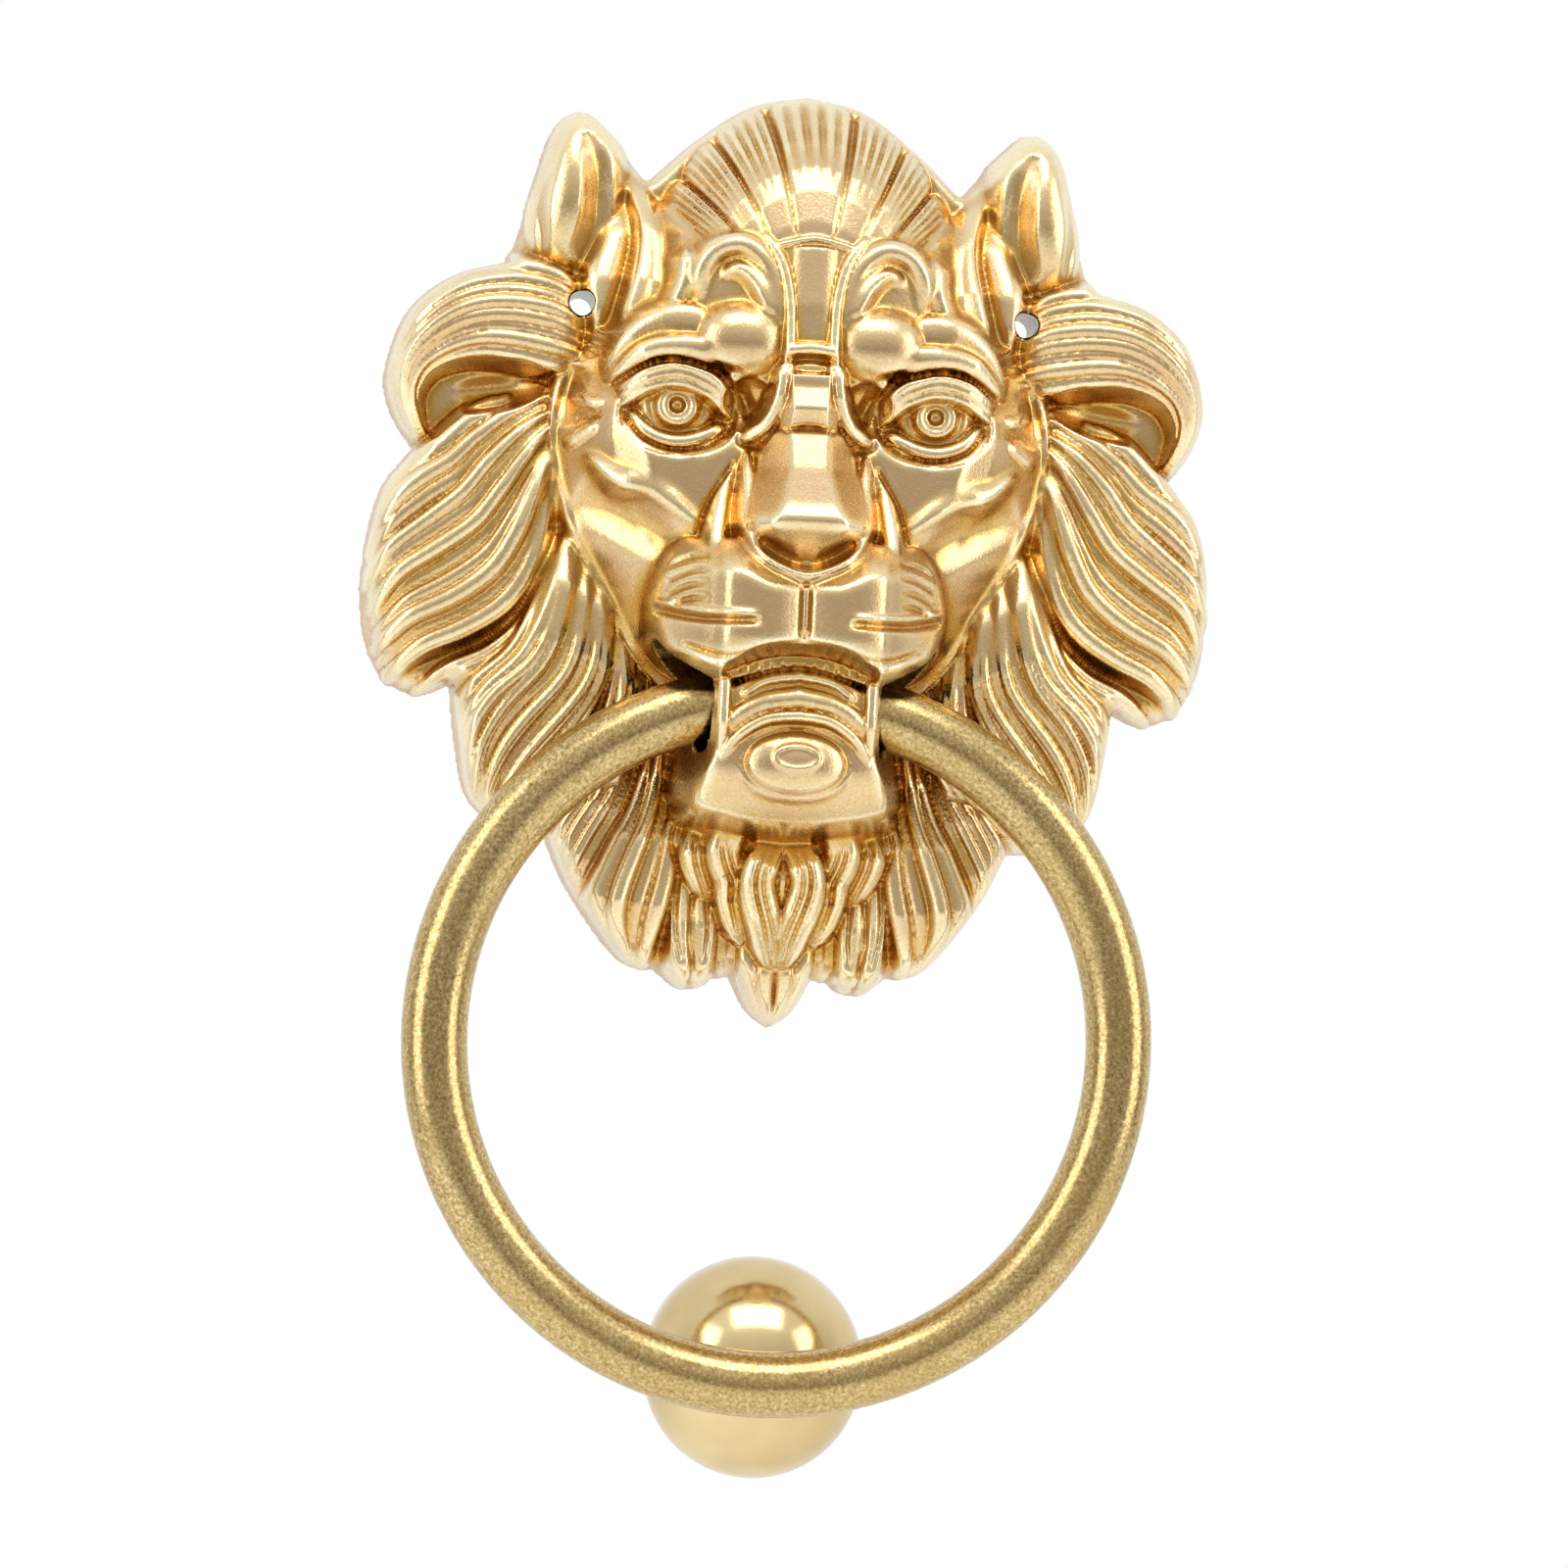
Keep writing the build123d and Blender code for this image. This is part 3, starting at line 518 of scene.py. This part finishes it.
def sculpt_jaw(r):
    """Lower jaw: teeth, ribbed tongue, and the boss with its oval."""
    low_lip = -46.4 - 0.028 * r.X ** 2
    r.cap(29.8 + DRAFT * (past(r.X, 9.8) + past(r.Z, low_lip) + past(-52 - r.Z)))
    for x in np.arange(0.7, 9.0, 1.4):
        r.groove([(x, -47.4), (x * 1.03, -49.2)], 0.5, 0.35, fade=0.4)
    jaw = 31.0 - 0.03 * past(r.X, 4) ** 2 - 0.075 * past(-60.5 - r.Z) ** 2
    half = 10.4 + 2.4 * smooth(-58.5, -66, r.Z)
    top = -48.9 - 0.03 * r.X ** 2
    hem = -68.6 + 0.012 * r.X ** 2
    jaw -= DRAFT * (past(r.X, half) + past(r.Z, top)) + 2.4 * past(hem, r.Z)
    r.put(jaw, blend=0.6)
    r.soften((0, -73), (15, -62), 0.35)
    r.strand([(9.7, -49.2), (9.7, -55), (9.6, -62)], 0.85, [31.6, 31.4, 29.2], taper=(0.1, 0.3))
    r.strand([(0, -49.2), (4.4, -50.0), (8.0, -52.4)], 0.55, [31.8, 31.6, 31], taper=(0, 0.2))
    r.strand([(0, -52.0), (4.6, -52.9), (8.0, -55.2), (9.0, -58)], 1.3, [33.0, 32.6, 31.6, 30.2],
             taper=(0, 0.2), roundness=0.8)
    r.strand([(0, -54.3), (4.4, -55.0), (8.2, -57.8), (9.9, -61.6), (11.4, -65.6), (13.4, -68)], 0.7,
             [33.2, 32.8, 31.8, 30.0, 27.6, 22], taper=(0, 0.15))
    r.blob(0, -60.6, 8.2, 5.2, 28.6, 4.6, power=2.3, blend=0.3)
    r.ring(0, -60.6, 6.9, 4.2, 0.7, 0.6)
    r.ring(0, -59.8, 2.9, 1.5, 0.6, -0.35)


def sculpt_head(step):
    """The whole relief, over cells of the given size."""
    r = Relief(step)
    sculpt_mane(r)
    sculpt_crown(r)
    sculpt_mask(r)
    sculpt_brows(r)
    sculpt_eyes(r)
    sculpt_nose(r)
    sculpt_muzzle(r)
    sculpt_jaw(r)
    r.soften((17, -6), (33, 22), 0.3)
    # near the rim the surface rolls over towards the door, in a narrower band along the crown
    roll = 3.4 - 1.8 * smooth(8, 16, r.Z) * smooth(26, 21, r.X)
    r.h -= 8.0 * (1 - np.sqrt(1 - (1 - np.clip(r.inset / roll, 0, 1)) ** 2)) * (r.inset > 0)
    r.cap(np.where(r.inset > 0, 1.5 + 8.0 * r.inset, DRAFT * r.inset))
    return r


# ---------------------------------------------------------------- driving sizes
MM = 0.001

# worked out from the frame, in millimetres
joint = frame["joints"][0]
pivot = Vector(joint["pos_m"]) / MM                    # swing axis of the ring
ring_low, ring_high = (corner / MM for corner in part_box("knocker_ring"))
rod_r = (ring_high.y - ring_low.y) / 2                 # half the thickness of its bar
ring_r = (ring_high.x - ring_low.x) / 2 - rod_r        # radius of its centre line
button_low, button_high = (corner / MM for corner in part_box("strike_button"))
screw_low, screw_high = (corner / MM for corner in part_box("strike_screw"))
button_z = (button_high.z + button_low.z) / 2
SHANK_R = (screw_high.x - screw_low.x) / 2             # plain part of the screw, in the button

# inside the head, given here to agree with the CAD; its mounts also give HOLE_X and HOLE_R
HOLE_X, HOLE_R, BOSS_R = 30.0, 1.7, 4.2                # screw holes of the head and their bosses
POCKET, POCKET_EDGE = 5.5, 3.6                         # depth of the hollow back, width of its rim
WALL_SLOPE = 3.0                                       # slope of the walls inside the hollow
CORE_X, CORE_Z, CORE_LOW = 27, 21, 16                  # oval core: half sizes, how far its middle is down
CORE_DEPTH, CORE_SLOPE = 18, 43
SLOT_Y, SLOT_Z, SLOT_LOW = 6.6, 7.35, 0.3              # openings of the jaw: half sizes, below the pivot
SLOT_X = 24                                            # how far out to the sides they cut
WEB_X = 3.0                                            # half width of the web that carries the ring
RING_GAP, BORE_GAP = 0.8, 0.4                          # play round the ring, in the jaw and in the web


def solid_field(r, step):
    """The head as a solid: positive inside, over a grid of (x, depth, z) in millimetres."""
    half = np.concatenate([-r.x[:0:-1], r.x])
    relief, inset = both_sides(r.h), both_sides(r.inset)
    depth = np.arange(-1.5 * step, relief.max() + 2 * step, step)
    x, z = half[:, None], r.z[None, :]
    # hollow back, with a deeper core behind the face and bosses left round the screw holes
    oval = np.hypot(x / CORE_X, (z + CORE_LOW) / CORE_Z)
    pocket = np.minimum(POCKET, WALL_SLOPE * past(inset, POCKET_EDGE))
    pocket = np.maximum(pocket, np.clip(POCKET + CORE_SLOPE * (1 - oval), 0, CORE_DEPTH) * (oval < 1))
    hole = np.hypot(np.abs(x) - HOLE_X, z)
    pocket = np.minimum(pocket, WALL_SLOPE * past(hole, BOSS_R))
    field = np.empty((len(half), len(depth), len(r.z)), np.float32)
    bore_side = np.abs(x) - WEB_X
    for k, d in enumerate(depth):
        solid = np.minimum(relief - d, d - pocket)
        solid = np.minimum(solid, hole - HOLE_R)
        # oval openings in both sides of the jaw, room for the hanging ring, bored web between
        slot = (np.hypot((d + pivot.y) / SLOT_Y, (z - pivot.z + SLOT_LOW) / SLOT_Z) - 1) * SLOT_Y + 0 * x
        slot = np.where(np.abs(x) < SLOT_X, slot, np.maximum(slot, np.abs(x) - SLOT_X))
        around = np.hypot(x, z - (pivot.z - ring_r)) - ring_r
        room = np.hypot(around, d + pivot.y) - rod_r - RING_GAP
        web = np.minimum(-bore_side, np.hypot(d + pivot.y, z - pivot.z) - rod_r - BORE_GAP + 0 * x)
        cut = np.maximum(np.minimum(slot, room), web)
        field[:, k, :] = np.minimum(solid, cut)
    return half, depth, r.z, field


def surface_net(axes, field):
    """Vertices and quads of the surface where the field changes sign, one vertex for each crossed cell."""
    inside = field > 0
    n = [s - 1 for s in field.shape]
    corners = [(i, j, k) for i in (0, 1) for j in (0, 1) for k in (0, 1)]

    def cells(a, c):
        return a[c[0]:c[0] + n[0], c[1]:c[1] + n[1], c[2]:c[2] + n[2]]

    some = np.zeros(n, bool)
    every = np.ones(n, bool)
    for c in corners:
        some |= cells(inside, c)
        every &= cells(inside, c)
    cell = np.argwhere(some & ~every)
    index = np.full(n, -1, np.int32)
    index[tuple(cell.T)] = np.arange(len(cell))
    total = np.zeros((len(cell), 3))
    hits = np.zeros(len(cell))
    for c in corners:
        for axis in range(3):
            if c[axis]:
                continue
            e = list(c)
            e[axis] = 1
            a = field[tuple((cell + c).T)]
            b = field[tuple((cell + e).T)]
            crossed = (a > 0) != (b > 0)
            t = a[crossed] / (a[crossed] - b[crossed])
            point = np.tile(np.array(c, float), (crossed.sum(), 1))
            point[:, axis] = t
            total[crossed] += point
            hits[crossed] += 1
    spot = cell + total / hits[:, None]
    vertices = np.column_stack([axis[0] + (axis[1] - axis[0]) * spot[:, k] for k, axis in enumerate(axes)])
    quads = []
    for axis in range(3):
        u, v = [(1, 2), (2, 0), (0, 1)][axis]
        low = [slice(1, -1)] * 3
        low[axis] = slice(0, -1)
        high = list(low)
        high[axis] = slice(1, None)
        a, b = inside[tuple(low)], inside[tuple(high)]
        for sign in (True, False):
            edge = np.argwhere((a != b) & (a == sign))
            offset = np.ones(3, int)
            offset[axis] = 0
            base = edge + offset
            ring = []
            for du, dv in ((0, 0), (-1, 0), (-1, -1), (0, -1)):
                at = base.copy()
                at[:, u] += du
                at[:, v] += dv
                ring.append(index[tuple(at.T)])
            quads.append(np.column_stack(ring if not sign else ring[::-1]))
    return vertices, np.vstack(quads)


def settle(vertices, quads, rounds=3):
    """Takes the stepping of the cells out of a surface and nearly keeps its volume (Taubin's passes)."""
    a = quads.ravel()
    b = np.roll(quads, -1, axis=1).ravel()
    count = np.bincount(np.concatenate([a, b]), minlength=len(vertices))[:, None]
    for _ in range(rounds):
        for pull in (0.55, -0.57):
            mean = np.column_stack([
                np.bincount(a, vertices[b, k], len(vertices)) + np.bincount(b, vertices[a, k], len(vertices))
                for k in range(3)]) / np.maximum(count, 1)
            vertices = vertices + pull * (mean - vertices)
    return vertices


def new_object(name, data):
    """A new object, linked to the scene."""
    obj = bpy.data.objects.new(name, data)
    bpy.context.scene.collection.objects.link(obj)
    return obj


def build_mesh(name, vertices, quads, values):
    """A smooth mesh, in metres, from millimetre vertices, with named values at each vertex."""
    mesh = bpy.data.meshes.new(name)
    mesh.vertices.add(len(vertices))
    mesh.vertices.foreach_set("co", (np.asarray(vertices) * MM).astype(np.float32).ravel())
    mesh.loops.add(quads.size)
    mesh.loops.foreach_set("vertex_index", quads.astype(np.int32).ravel())
    mesh.polygons.add(len(quads))
    mesh.polygons.foreach_set("loop_start", np.arange(0, quads.size, quads.shape[1], dtype=np.int32))
    mesh.update(calc_edges=True)
    mesh.validate()
    mesh.polygons.foreach_set("use_smooth", np.ones(len(mesh.polygons), bool))
    for key, value in values.items():
        mesh.attributes.new(key, "FLOAT", "POINT").data.foreach_set("value", value.astype(np.float32))
    return new_object(name, mesh)


def carve_head():
    """The head's mesh, with what its material needs to know about each point."""
    step = GRID * 1.0
    relief = sculpt_head(step)
    half, depth, z, field = solid_field(relief, step)
    v, quads = surface_net((half, depth, z), field)
    v = settle(v, quads)
    i = np.clip(np.rint(np.abs(v[:, 0]) / step).astype(int), 0, len(relief.x) - 1)
    j = np.clip(np.rint((v[:, 2] - relief.z[0]) / step).astype(int), 0, len(relief.z) - 1)
    # how far each point stands out from its close and wider surroundings, and whether it is in front
    near, wider = 0.9, 4.0                # spread of the blurs that stand for the surroundings
    skin = 2.5                            # depth over which the front's finish gives way
    filed, filed_share = 0.25, 0.35       # how close to the door the back rim is filed, and how much of the dark inside colour, partly painted shade, it takes
    ground = np.maximum(relief.h, 0)
    fine = (ground - blur(ground, near / step))[i, j]
    broad = (ground - blur(ground, wider / step))[i, j]
    front = np.clip(1 - (relief.h[i, j] - v[:, 1]) / skin, 0, 1)
    vertices = np.column_stack([v[:, 0], -v[:, 1], v[:, 2]])
    # crest and relief steer the painted shade in the grooves and the painted highlight on the crests; inner
    # steers the dark inside colour, which is partly painted shade
    return build_mesh("head_casting", vertices, quads, {
        "crest": np.where(front > 0, fine, 0), "relief": np.where(front > 0, broad, -3.0),
        "inner": np.where(v[:, 1] < filed, filed_share, 1 - front)})


head = carve_head()
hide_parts("lion_head")
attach(head, "door_side")


def cut_screw():
    """Wood screw of the strike button: a shank in the button, then a thread that tapers to a point."""
    rim, rows = 40, 340                       # points round the screw, and rows along it
    turns = 2 * np.pi
    pitch, core, depth, half_ridge = 2.4, 1.35, 0.75, 0.30
    point, flush = 6.0, 0.4                   # length of the point, where the thread starts
    chamfer, end_share = 0.4, 0.85            # its hidden end: length, and share of the radius
    start, tip = screw_low.y, screw_high.y
    y = np.linspace(start, tip, rows)[:, None]
    angle = np.linspace(0, turns, rim, endpoint=False)[None, :]
    taper = np.clip((tip - y) / point, 0, 1) ** 0.75
    phase = (y / pitch - angle / turns) % 1.0
    ridge = np.clip(1 - np.abs(phase - 0.5) / half_ridge, 0, 1) ** 0.8
    threaded = (core + depth * ridge) * taper + 0.04
    radius = np.where(y < flush, SHANK_R, threaded)
    radius = radius * np.clip((y - start) / chamfer + end_share, 0, 1)
    ring = np.stack([radius * np.cos(angle), y + 0 * angle, button_z + radius * np.sin(angle)], -1)
    ends = np.array([[0, start, button_z], [0, tip, button_z]])
    vertices = np.vstack([ring.reshape(-1, 3), ends])
    i, k = np.meshgrid(np.arange(rows - 1), np.arange(rim), indexing="ij")
    here, beside = i * rim + k, i * rim + (k + 1) % rim
    quads = np.stack([here, here + rim, beside + rim, beside], -1).reshape(-1, 4)
    mesh = bpy.data.meshes.new("screw_thread")
    first, last = np.arange(rim), (rows - 1) * rim + np.arange(rim)
    caps = [(len(vertices) - 2, int(p), int(q)) for p, q in zip(first, np.roll(first, -1))]
    caps += [(len(vertices) - 1, int(q), int(p)) for p, q in zip(last, np.roll(last, -1))]
    mesh.from_pydata((vertices * MM).tolist(), [], quads.tolist() + caps)
    mesh.shade_smooth()
    return new_object("screw_thread", mesh)


screw = cut_screw()
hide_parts("strike_screw")
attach(screw, "door_side")


# ---------------------------------------------------------------- materials
class Nodes:
    """Small helper that lays out a material's nodes."""

    def __init__(self, name):
        self.material = bpy.data.materials.new(name)
        self.material.use_nodes = True
        self.tree = self.material.node_tree
        self.tree.nodes.clear()

    def add(self, kind, **settings):
        """A new node with its settings."""
        node = self.tree.nodes.new(kind)
        for key, value in settings.items():
            setattr(node, key, value)
        return node

    def join(self, a, b):
        """Links an output to an input."""
        self.tree.links.new(a, b)

    def noise(self, scale, detail, roughness=0.5):
        """Noise fixed to the object, from 0 to 1."""
        place = self.add("ShaderNodeTexCoord")
        node = self.add("ShaderNodeTexNoise")
        node.inputs["Scale"].default_value = scale
        node.inputs["Detail"].default_value = detail
        node.inputs["Roughness"].default_value = roughness
        self.join(place.outputs["Object"], node.inputs["Vector"])
        return node.outputs["Fac"]

    def ramp(self, source, stops):
        """A colour for each level of a source."""
        node = self.add("ShaderNodeValToRGB")
        while len(node.color_ramp.elements) < len(stops):
            node.color_ramp.elements.new(0.5)
        for element, (place, colour) in zip(node.color_ramp.elements, stops):
            element.position = place
            element.color = (*colour, 1)
        self.join(source, node.inputs["Fac"])
        return node.outputs["Color"]

    def span(self, source, low, high, to_low, to_high):
        """A source's range mapped to another."""
        node = self.add("ShaderNodeMapRange")
        node.inputs["From Min"].default_value = low
        node.inputs["From Max"].default_value = high
        node.inputs["To Min"].default_value = to_low
        node.inputs["To Max"].default_value = to_high
        self.join(source, node.inputs["Value"])
        return node.outputs["Result"]

    def mix(self, a, b, fac, kind="MIX"):
        """Colour b over colour a; each is a node's output or a plain colour."""
        node = self.add("ShaderNodeMix", data_type="RGBA", blend_type=kind)
        sockets = [s for s in node.inputs if s.type == "RGBA"]
        for source, socket in ((a, sockets[0]), (b, sockets[1])):
            if isinstance(source, tuple):
                socket.default_value = (*source, 1)
            else:
                self.join(source, socket)
        if isinstance(fac, float):
            node.inputs[0].default_value = fac
        else:
            self.join(fac, node.inputs[0])
        return [s for s in node.outputs if s.type == "RGBA"][0]

    def add_up(self, a, b, scale=1.0):
        """a plus b times a scale."""
        node = self.add("ShaderNodeMath", operation="MULTIPLY_ADD")
        self.join(b, node.inputs[0])
        node.inputs[1].default_value = scale
        self.join(a, node.inputs[2])
        return node.outputs[0]

    def mask(self, a, b):
        """Product of two factors."""
        times = self.add("ShaderNodeMath", operation="MULTIPLY")
        self.join(a, times.inputs[0])
        self.join(b, times.inputs[1])
        return times.outputs[0]

    def metal(self, colour, roughness, height, strength, distance):
        """Finishes the material as a metal."""
        shader = self.add("ShaderNodeBsdfPrincipled")
        shader.inputs["Metallic"].default_value = 1.0
        self.join(colour, shader.inputs["Base Color"])
        self.join(roughness, shader.inputs["Roughness"])
        bump = self.add("ShaderNodeBump")
        bump.inputs["Strength"].default_value = strength
        bump.inputs["Distance"].default_value = distance
        self.join(height, bump.inputs["Height"])
        self.join(bump.outputs["Normal"], shader.inputs["Normal"])
        out = self.add("ShaderNodeOutputMaterial")
        self.join(shader.outputs["BSDF"], out.inputs["Surface"])
        return self.material


def head_brass():
    """Polished casting: tarnish and painted shade in the grooves, a painted highlight on the crests, and dark
    unpolished sand-cast metal inside, darkened further as painted shade in the bores, openings and hollow
    back.
    """
    n = Nodes("head_brass_with_painted_light")
    crest = n.add("ShaderNodeAttribute", attribute_name="crest").outputs["Fac"]
    relief = n.add("ShaderNodeAttribute", attribute_name="relief").outputs["Fac"]
    inner = n.add("ShaderNodeAttribute", attribute_name="inner").outputs["Fac"]
    grain, cloud, sand = n.noise(2600, 3, 0.7), n.noise(90, 4), n.noise(700, 4, 0.7)
    # painted shade and tarnish darken the grooves, and a painted highlight pales the crests
    base = n.ramp(n.span(crest, -0.7, 0.7, 0, 1),
                  [(0.0, (0.60, 0.34, 0.07)), (0.35, (0.71, 0.48, 0.16)), (0.60, (0.75, 0.57, 0.28)),
                   (1.0, (0.96, 0.84, 0.54))])
    tone = n.mix(base, (0.64, 0.42, 0.26), n.span(cloud, 0.38, 0.70, 0.0, 0.40))
    # patina and painted shade in the broad hollows
    hollow_shade_and_patina = n.mix(tone, (0.60, 0.34, 0.08), n.span(relief, -0.8, -4.5, 0.0, 0.5))
    flat = n.span(crest, 0.02, 0.16, 0.45, 0.0)
    rosy = n.mix(hollow_shade_and_patina, (0.74, 0.52, 0.36), n.mask(flat, n.span(crest, -0.16, -0.02, 0.0, 1.0)))
    # painted glints on grains of the surface
    glint = n.mix(rosy, (0.98, 0.86, 0.66), n.span(grain, 0.33, 0.43, 0.4, 0.0))
    speck = n.mix(glint, (0.36, 0.22, 0.08), n.span(grain, 0.58, 0.74, 0.0, 0.5))
    # dark inside the casting: unpolished cast metal, made near black as painted shade in the bores, the jaw
    # openings and the hollow back
    unpolished_and_painted_shade = n.ramp(sand, [(0.35, (0.055, 0.035, 0.016)), (0.55, (0.15, 0.10, 0.045)),
                         (0.75, (0.30, 0.21, 0.10))])
    cast = n.mix(speck, unpolished_and_painted_shade, inner)
    rough = n.span(grain, 0.35, 0.65, 0.14, 0.30)
    height = n.add_up(n.add_up(grain, cloud, 0.5), sand, 0.6)
    return n.metal(cast, rough, height, 0.44, 0.00008)


def ring_brass():
    """Coarser brass: a speckled, slightly pitted bar."""
    n = Nodes("ring_brass_finish")
    grain, pits, cloud = n.noise(1900, 4, 0.8), n.noise(900, 3, 0.6), n.noise(60, 4)
    base = n.ramp(grain, [(0.32, (0.20, 0.12, 0.04)), (0.45, (0.46, 0.33, 0.13)), (0.57, (0.66, 0.50, 0.24)),
                          (0.70, (0.96, 0.84, 0.54))])
    tone = n.mix(base, (0.50, 0.34, 0.12), n.span(cloud, 0.4, 0.7, 0.0, 0.4))
    rough = n.span(pits, 0.3, 0.7, 0.13, 0.26)
    return n.metal(tone, rough, n.add_up(grain, pits, 0.8), 0.26, 0.00007)


def button_brass():
    """The smoothest brass, with faint wear."""
    n = Nodes("button_brass_finish")
    grain, cloud = n.noise(2600, 3, 0.6), n.noise(50, 3)
    base = n.ramp(cloud, [(0.35, (0.58, 0.43, 0.20)), (0.65, (0.74, 0.59, 0.32))])
    tone = n.mix(base, (0.44, 0.28, 0.10), n.span(grain, 0.60, 0.8, 0.0, 0.35))
    rough = n.span(grain, 0.3, 0.7, 0.12, 0.20)
    return n.metal(tone, rough, grain, 0.2, 0.00004)


def plated_steel():
    """Plain bright plating, for the screw and the ring's pin."""
    n = Nodes("steel_finish")
    grain, cloud = n.noise(1800, 3, 0.6), n.noise(120, 3)
    base = n.ramp(cloud, [(0.35, (0.52, 0.52, 0.53)), (0.65, (0.68, 0.68, 0.67))])
    rough = n.span(grain, 0.3, 0.7, 0.22, 0.38)
    return n.metal(base, rough, grain, 0.2, 0.00004)


def dress(obj, material):
    """Gives an object one material."""
    obj.data.materials.clear()
    obj.data.materials.append(material)


steel = plated_steel()
dress(head, head_brass())
dress(frame["nodes"]["knocker_ring"], ring_brass())
dress(frame["nodes"]["strike_button"], button_brass())
dress(screw, steel)
dress(frame["nodes"]["ring_joint_pin"], steel)


# ---------------------------------------------------------------- floor, light, camera
def card(name, corners, material):
    """A flat piece of the set."""
    mesh = bpy.data.meshes.new(name)
    mesh.from_pydata(corners, [], [(0, 1, 2, 3)])
    mesh.materials.append(material)
    obj = new_object(name, mesh)


def pale_floor():
    """A nearly white floor with a faint mottle."""
    n = Nodes("pale_floor")
    base = n.ramp(n.noise(6, 3), [(0.3, (0.86, 0.86, 0.85)), (0.7, (0.89, 0.89, 0.88))])
    shader = n.add("ShaderNodeBsdfPrincipled")
    n.join(base, shader.inputs["Base Color"])
    shader.inputs["Roughness"].default_value = 0.8
    out = n.add("ShaderNodeOutputMaterial")
    n.join(shader.outputs["BSDF"], out.inputs["Surface"])
    return n.material


def softbox(name, place, target, width, height, power):
    """A white rectangular light that faces the target."""
    data = bpy.data.lights.new(name, "AREA")
    data.shape = "RECTANGLE"
    data.size = width
    data.size_y = height
    data.energy = power
    lamp = new_object(name, data)
    lamp.location = place
    lamp.rotation_euler = (Vector(target) - Vector(place)).to_track_quat("-Z", "Y").to_euler()


def studio_world():
    """White beyond the door side of the object; in front a dimmer room, brightest overhead."""
    world = bpy.data.worlds.new("studio")
    world.use_nodes = True
    tree = world.node_tree
    where = tree.nodes.new("ShaderNodeTexCoord")
    split = tree.nodes.new("ShaderNodeSeparateXYZ")
    tree.links.new(where.outputs["Generated"], split.inputs["Vector"])
    lift = tree.nodes.new("ShaderNodeMapRange")
    lift.inputs["From Min"].default_value = -1
    tree.links.new(split.outputs["Z"], lift.inputs["Value"])
    room = tree.nodes.new("ShaderNodeValToRGB")
    below, overhead = room.color_ramp.elements
    below.position = 0.30
    below.color = (0.20, 0.18, 0.15, 1)
    overhead.position = 0.85
    overhead.color = (1.0, 1.0, 1.0, 1)
    room.color_ramp.elements.new(0.52).color = (0.55, 0.51, 0.46, 1)
    tree.links.new(lift.outputs["Result"], room.inputs["Fac"])
    beyond = tree.nodes.new("ShaderNodeMapRange")
    beyond.interpolation_type = "SMOOTHSTEP"
    beyond.inputs["From Min"].default_value = -0.10
    beyond.inputs["From Max"].default_value = 0.45
    tree.links.new(split.outputs["Y"], beyond.inputs["Value"])
    mix = tree.nodes.new("ShaderNodeMix")
    mix.data_type = "RGBA"
    tree.links.new(beyond.outputs["Result"], mix.inputs[0])
    tree.links.new(room.outputs["Color"], mix.inputs[6])
    mix.inputs[7].default_value = (1, 1, 1, 1)
    tree.links.new(mix.outputs[2], tree.nodes["Background"].inputs["Color"])
    return world


FLOOR_DROP = 0.32             # metres from the button down to the floor
low = button_low.z * MM - FLOOR_DROP
wide = 1.6                    # metres from the middle of the floor to its sides
card("floor", [(-wide, -wide, low), (wide, -wide, low), (wide, wide, low), (-wide, wide, low)], pale_floor())
middle = (0, 0, (cad_box[0][2] + cad_box[1][2]) / 2)
softbox("above", (0.0, -0.45, 0.70), middle, 0.8, 0.4, 3.1)
softbox("left", (-0.80, -0.42, 0.12), middle, 0.45, 0.9, 2.6)
softbox("right", (0.80, -0.42, 0.12), middle, 0.45, 0.9, 2.6)


bpy.context.scene.world = studio_world()
bpy.context.scene.view_settings.view_transform = "Standard"

# The camera stands a little to the left of the head's middle. Its roll lifts its right side, so
# the object looks turned a little clockwise.
YAW, ROLL = math.radians(4.5), math.radians(2.5)
DISTANCE = 0.7                # metres from the camera to the point it aims at
FOCAL_LENGTH = 117.16         # millimetres, on a 36 mm sensor
aim = Vector((0.00102, 0.0, -0.06334))
forward = Vector((math.sin(YAW), math.cos(YAW), 0))
right = Vector((math.cos(YAW), -math.sin(YAW), 0))
up = right.cross(forward)
right, up = (math.cos(ROLL) * right + math.sin(ROLL) * up,
             -math.sin(ROLL) * right + math.cos(ROLL) * up)
lens = bpy.data.cameras.new("camera")
lens.sensor_width = 36
lens.lens = FOCAL_LENGTH
camera = new_object("camera", lens)
stand = Matrix((right, up, -forward)).transposed().to_4x4()
stand.translation = aim - DISTANCE * forward
camera.matrix_world = stand
bpy.context.scene.camera = camera

bpy.context.view_layer.update()
